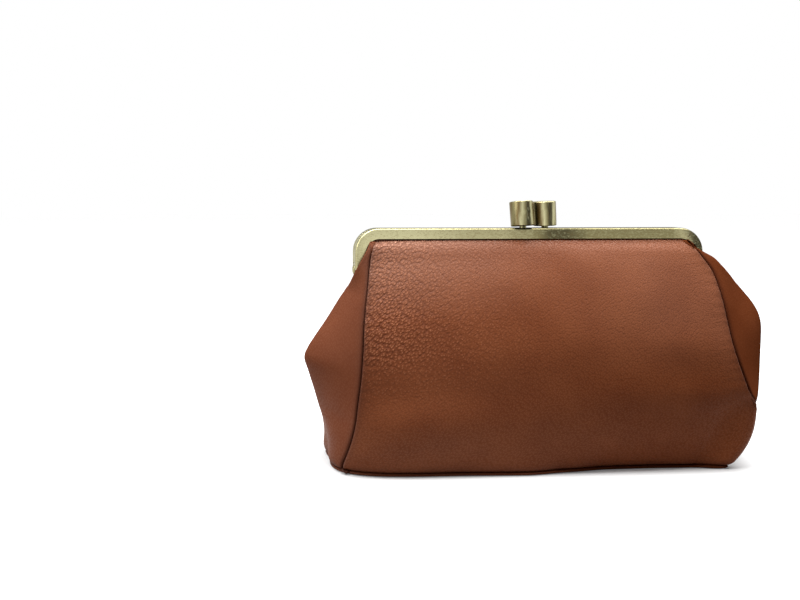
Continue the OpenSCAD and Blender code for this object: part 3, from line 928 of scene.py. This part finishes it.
def brassMaterial(name, along, tones, share, topTone):
    # share makes the value, from 0 to 1, that the tones are spread along
    # topTone is the tone of faces looking up: painted shade on the frame, a painted highlight on the knobs
    material, tree, shader = newMaterial(name)
    coordinates = addNode(tree, "TexCoord").outputs
    place = coordinates["Object"]
    marks = addNode(tree, "Group", {"Vector": place, "Along": along}, node_tree=brushed).outputs
    shift = rangeNode(tree, marks["Cloud"], *brass["cloudShift"])
    spread = mathNode(tree, "ADD", share(tree, place), shift)
    # the tones are painted reflections, spread along the frame or round a knob
    tone = ramp(tree, spread, [(at, brassTones[key]) for at, key in tones])
    facing = axisOf(tree, coordinates["Normal"], "Z")
    # a scratch tone, then a painted glint, then painted shade or highlight by which way a face looks
    for value, key, toneName in ((marks["Lines"], "scratch", "brown"), (marks["Lines"], "glint", "cream"),
                                 (facing, "upward", topTone), (facing, "downward", "dark")):
        tone = mixColor(tree, rangeNode(tree, value, *brass[key]), tone, (*brassTones[toneName], 1))
    rough = rangeNode(tree, marks["Lines"], *brass["roughness"])
    surface(tree, shader, tone, rough, marks["Lines"], brass["bump"], brass["relief"])
    shader.inputs["Metallic"].default_value = 1.0
    return material


def alongFrame(tree, place):
    return rangeNode(tree, axisOf(tree, place, "X"), -frameSide, frameSide)


def roundKnob(node):
    low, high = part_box(node)
    centre = (low + high) / 2

    def share(tree, place):
        moved = vectorMath(tree, "SUBTRACT", place, (centre.x, centre.y, 0))
        forward = product(tree, axisOf(tree, moved, "Y"), -1.0)
        angle = mathNode(tree, "ARCTAN2", axisOf(tree, moved, "X"), forward)
        return rangeNode(tree, angle, -math.pi, math.pi)
    return share


cotton = {
    "dark": (0.10, 0.055, 0.035, 1),
    "light": (0.20, 0.12, 0.08, 1),
    "threads": 900.0, "bump": 0.4, "relief": 0.1 * mm, "roughness": 0.85,
}


def liningMaterial():
    material, tree, shader = newMaterial("liningCotton")
    uv = addNode(tree, "UVMap", uv_map="leatherUv").outputs["UV"]
    warp, weft = (addNode(tree, "TexWave", {"Vector": uv, "Scale": cotton["threads"]},
                          bands_direction=way).outputs["Fac"] for way in "XY")
    weave = product(tree, warp, weft)
    tone = mixColor(tree, weave, cotton["dark"], cotton["light"])
    surface(tree, shader, tone, cotton["roughness"], weave, cotton["bump"], cotton["relief"])
    return material


paper = {
    "paperCord": {"dark": (0.42, 0.34, 0.22, 1), "light": (0.66, 0.58, 0.42, 1),
                  "fibres": (500, 1500, 1500), "relief": 0.1 * mm},
    "greyBoard": {"dark": (0.22, 0.20, 0.17, 1), "light": (0.34, 0.32, 0.28, 1),
                  "fibres": (900, 900, 900), "relief": 0.05 * mm},
    "speckle": (1.0, 4.0),
    "toneRange": (0.35, 0.65),
    "roughness": (0.3, 0.7, 0.75, 0.95),
    "bump": 0.5,
}


def paperMaterial(name):
    # Fibrous paper: a twisted cord's bands, or the speckle of pressed board
    look = paper[name]
    material, tree, shader = newMaterial(name)
    place = addNode(tree, "TexCoord").outputs["Object"]
    fibre = noiseNode(tree, vectorMath(tree, "MULTIPLY", place, look["fibres"]), *paper["speckle"])["Fac"]
    tone = mixColor(tree, rangeNode(tree, fibre, *paper["toneRange"]), look["dark"], look["light"])
    rough = rangeNode(tree, fibre, *paper["roughness"])
    surface(tree, shader, tone, rough, fibre, paper["bump"], look["relief"])
    return material


grain = grainGroup()
tanLeather = leatherMaterial("panelLeather", panelLeather)
smoothLeather = leatherMaterial("gussetLeather", gussetLeather)
brushed = brushedGroup()
frameBrass = brassMaterial("frameBrass", brass["frameBrushing"], brass["frame"], alongFrame, "deep")
knobBrass = {half: brassMaterial(half + "_knobBrass", brass["knobBrushing"], brass["knob"],
                                 roundKnob(half + "_knob"), "pale") for half in ("front", "rear")}
liningCotton = liningMaterial()
paperCord = paperMaterial("paperCord")
greyBoard = paperMaterial("greyBoard")
print("materials made")

cloths = {
    "leather": (tanLeather, leather["thickness"]),
    "gusset_leather": (smoothLeather, leather["thickness"]),
    "lining": (liningCotton, lining["thickness"]),
}


def dress(piece, material):
    piece.data.materials.clear()
    piece.data.materials.append(material)


def sewn(name, grid, near, facing, slotName):
    # A grid made up in its leather or lining
    material, thickness = cloths[slotName]
    piece = thicken(gridPiece(name, grid, near, facing), thickness)
    dress(piece, material)
    return piece


def bendsWith(piece):
    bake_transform(piece)


def halves(front, rear=None):
    # The grid of each half, and the way that it faces
    return ("front", front, Vector((0, -1, 0))), ("rear", mirrored(rear or front), Vector((0, 1, 0)))


panelRows, near = panelGrid()
for half, grid, facing in halves(panelRows):
    shell = sewn(half + "Leather", grid, near, facing, "leather")
    bendsWith(shell)
    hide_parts(half + "_panel", half + "_top_panel")
for half, grid, facing in halves(liningPanelGrid()):
    shell = sewn(half + "Lining", grid, None, facing, "lining")
    bendsWith(shell)
    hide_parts(half + "_lining", half + "_top_lining")
for side, seam, ridge in sides:
    sideways = Vector((-1 if side == "left" else 1, 0, 0))
    tucked, near = gussetGrid(seam, rearRidge(ridge), side)
    for half, grid, facing in halves(gussetGrid(seam, ridge, side)[0], tucked):
        shell = sewn(side + "Gusset" + half.capitalize(), grid, near, facing + sideways, "gusset_leather")
        bendsWith(shell)
        if half == "front":
            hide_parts(side + "_gusset")
    for half, grid, facing in halves(liningGussetGrid(seam, ridge)):
        shell = sewn(side + "GussetLining" + half.capitalize(), grid, None, facing + sideways, "lining")
        bendsWith(shell)
        if half == "front":
            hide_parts(side + "_gusset_lining")
    upward = sideways + Vector((0, 0, 1))
    shell = sewn(side + "GussetPleat", pleatGrid(side), None, upward, "gusset_leather")
    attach(shell, "bag_body")
print("leather sewn")

outline = baseOutline()
inwards = outlineInward(outline)
rings = baseGrid(outline, inwards)
# painted shade: the whole base is darkened by part of the seams' dark tone
paintedBaseShade = [[base["dark"]] * len(outline)] * len(rings)
shell = gridPiece("baseLeather", rings, paintedBaseShade, Vector((0, 0, -1)), closed=True)
dress(thicken(shell, leather["thickness"]), smoothLeather)
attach(shell, "bag_body")
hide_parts("base_panel")
boardZ = leather["thickness"] + base["boardGap"]
liningZ = boardZ + base["board"] + base["liningGap"]
for name, node, z, thickness, inset, slotName, material in (
        ("baseBoard", "base_board", boardZ, base["board"], base["boardInset"], "board", greyBoard),
        ("baseLining", "base_lining", liningZ, base["lining"], base["liningInset"], "lining",
         liningCotton)):
    plate = gridPiece(name, plateGrid(outline, inwards, inset, z, thickness), closed=True)
    dress(plate, material)
    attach(plate, "bag_body")
    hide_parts(node)

metal = {"merge": 0.002 * mm, "sharp": math.radians(28)}


def smoothCopy(node, name, body, material):
    # A merged copy of a metal piece, shaded smooth except at its sharp edges
    bm = bmesh.new()
    bm.from_mesh(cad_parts[node].data)
    bmesh.ops.remove_doubles(bm, verts=bm.verts, dist=metal["merge"])
    for face in bm.faces:
        face.smooth = True
    for edge in bm.edges:
        edge.smooth = len(edge.link_faces) == 2 and edge.calc_face_angle() < metal["sharp"]
    piece = pieceFrom(bm, name)
    dress(piece, material)
    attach(piece, body)
    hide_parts(node)


for half in ("front", "rear"):
    smoothCopy(half + "_frame", half + "Frame", half + "_half", frameBrass)
    smoothCopy(half + "_knob", half + "Knob", half + "_half", knobBrass[half])
    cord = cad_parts[half + "_channel_cord"].data.materials
    cord.clear()
    cord.append(paperCord)
for side in ("left", "right"):
    smoothCopy(side + "_hinge_rivet", side + "HingeRivet", "bag_body", frameBrass)
print("base and metal dressed")

studio = {
    "floorSize": 6.0,
    "footprint": (100 * mm, 28 * mm, 1.0),  # half sizes of the base's plain middle
    # what the floor adds or throws back, by the distance from the footprint
    # the glow is low near the footprint, so the floor round the bag is painted darker, besides its real
    # shadow
    "lift": (5 * mm, 40 * mm, 0.12, 0.95),
    "bounceReach": (20 * mm, 130 * mm),
    "bounce": ((0.38, 0.34, 0.31, 1), (0.08, 0.07, 0.065, 1)),
    "floorTone": (0.62, 0.62, 0.62, 1),
    "floorRoughness": 0.9, "floorSpecular": 0.1,
    "white": (1, 1, 1, 1),
    "surround": (0.02, 1.0),  # as light on the bag, and as it is seen
    "mirroredLess": 0.25,
}
lamps = {
    "overhead": {"place": (0, -0.02, 1.05), "target": (0, 0, 0.06), "size": (2.2, 0.5), "power": 35},
    "leftSide": {"place": (-1.2, -0.35, 0.55), "target": (0, 0, 0.07), "size": (0.5, 0.5), "power": 3.0},
}
cameraSetup = {
    "place": (-0.17344, -0.52297, 0.15151),
    "yaw": 3.0, "pitch": 1.2,
    "focalPixels": 930,
    "picture": (800, 600),
    "centre": (272.7, 212.1),
    "sensor": 36, "nearest": 0.01,
}

bm = bmesh.new()
bmesh.ops.create_grid(bm, x_segments=1, y_segments=1, size=studio["floorSize"])
floor = pieceFrom(bm, "floor")
floorMaterial, tree, shader = newMaterial("paleFloor")
rays = addNode(tree, "LightPath").outputs
outside = vectorMath(tree, "ABSOLUTE", addNode(tree, "TexCoord").outputs["Object"], (0, 0, 0))
outside = vectorMath(tree, "SUBTRACT", outside, studio["footprint"])
outside = vectorMath(tree, "MAXIMUM", outside, (0, 0, 0))
far = addNode(tree, "VectorMath", {0: outside}, operation="LENGTH").outputs["Value"]
seen = mathNode(tree, "MAXIMUM", rays["Is Camera Ray"], rays["Is Glossy Ray"])
# the floor's glow, weakest near the bag: painted shade round it
lift = product(tree, seen, rangeNode(tree, far, *studio["lift"]))
bounce = mixColor(tree, rangeNode(tree, far, *studio["bounceReach"]), *studio["bounce"])
tone = mixColor(tree, rays["Is Camera Ray"], bounce, studio["floorTone"])
setInputs(tree, shader.inputs, {
    "Base Color": tone, "Roughness": studio["floorRoughness"], "Emission Color": studio["white"],
    "Specular IOR Level": studio["floorSpecular"], "Emission Strength": lift})
floor.data.materials.append(floorMaterial)

world = bpy.data.worlds.new("studio")
scene.world = world
world.use_nodes = True
tree = world.node_tree
tree.nodes.clear()
rays = addNode(tree, "LightPath").outputs
seen = mathNode(tree, "ADD", rays["Is Camera Ray"], rays["Is Glossy Ray"], clamp=True)
strength = mathNode(tree, "SUBTRACT", rangeNode(tree, seen, 0.0, 1.0, *studio["surround"]),
                    product(tree, rays["Is Glossy Ray"], studio["mirroredLess"]))
background = addNode(tree, "Background", {"Color": studio["white"], "Strength": strength})
addNode(tree, "OutputWorld", {"Surface": background.outputs[0]})

for name, lamp in lamps.items():
    data = bpy.data.lights.new(name, "AREA")
    data.shape = "RECTANGLE"
    data.size, data.size_y = lamp["size"]
    data.energy = lamp["power"]
    light = bpy.data.objects.new(name, data)
    light.location = lamp["place"]
    way = Vector(lamp["target"]) - Vector(lamp["place"])
    light.rotation_euler = way.to_track_quat("-Z", "Y").to_euler()
    scene.collection.objects.link(light)

cameraData = bpy.data.cameras.new("camera")
camera = bpy.data.objects.new("camera", cameraData)
scene.collection.objects.link(camera)
camera.location = cameraSetup["place"]
camera.rotation_euler = (math.radians(90 - cameraSetup["pitch"]), 0, -math.radians(cameraSetup["yaw"]))
width, height = cameraSetup["picture"]
centreX, centreY = cameraSetup["centre"]
cameraData.sensor_width = cameraSetup["sensor"]
cameraData.lens = cameraSetup["sensor"] * cameraSetup["focalPixels"] / width
cameraData.shift_x = (width / 2 - centreX) / width
cameraData.shift_y = (centreY - height / 2) / width
cameraData.clip_start = cameraSetup["nearest"]
scene.camera = camera
scene.view_settings.view_transform = "Standard"

print("scene ready")
